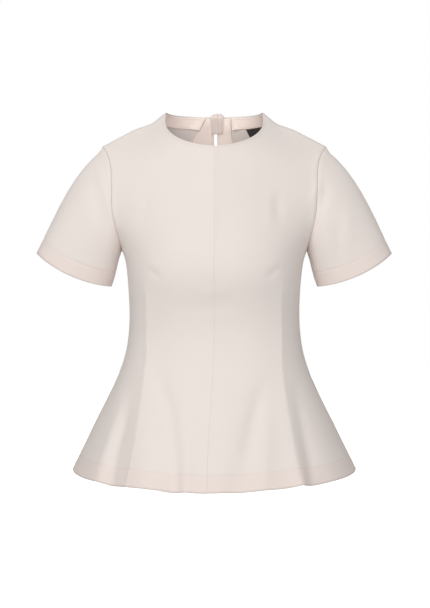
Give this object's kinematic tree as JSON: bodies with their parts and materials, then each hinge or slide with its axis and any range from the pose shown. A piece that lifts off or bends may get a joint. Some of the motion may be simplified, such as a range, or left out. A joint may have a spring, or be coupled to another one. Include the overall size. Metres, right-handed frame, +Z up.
{
  "type": "fitted peplum top",
  "caption": "Short-sleeved fitted top in crepe jersey with a flared peplum, darted fronts and a tie over a slit at the back neck.",
  "frame": {"origin": "midway between the two points where the shoulder seams meet the neck, at their height", "axes": "+Z up, the front faces -Y, +X is the wearer's left"},
  "size_m": [0.568, 0.3906, 0.5816],
  "materials": {
    "crepe_jersey": "matte blush crepe jersey",
    "crepe_facing": "matte blush crepe jersey, wrong side",
    "woven_label": "black woven satin, bare"
  },
  "bodies": {
    "root": {"front_left": "crepe_jersey", "front_right": "crepe_jersey", "back_left": "crepe_jersey", "back_right": "crepe_jersey", "sleeve_left": "crepe_jersey", "sleeve_right": "crepe_jersey", "neck_facing_left": "crepe_facing", "neck_facing_right": "crepe_facing", "slit_facing_left": "crepe_facing", "slit_facing_right": "crepe_facing", "tie_knot": "crepe_jersey", "tie_end_left": "crepe_jersey", "tie_end_right": "crepe_jersey", "label": "woven_label"}
  },
  "joints": []
}
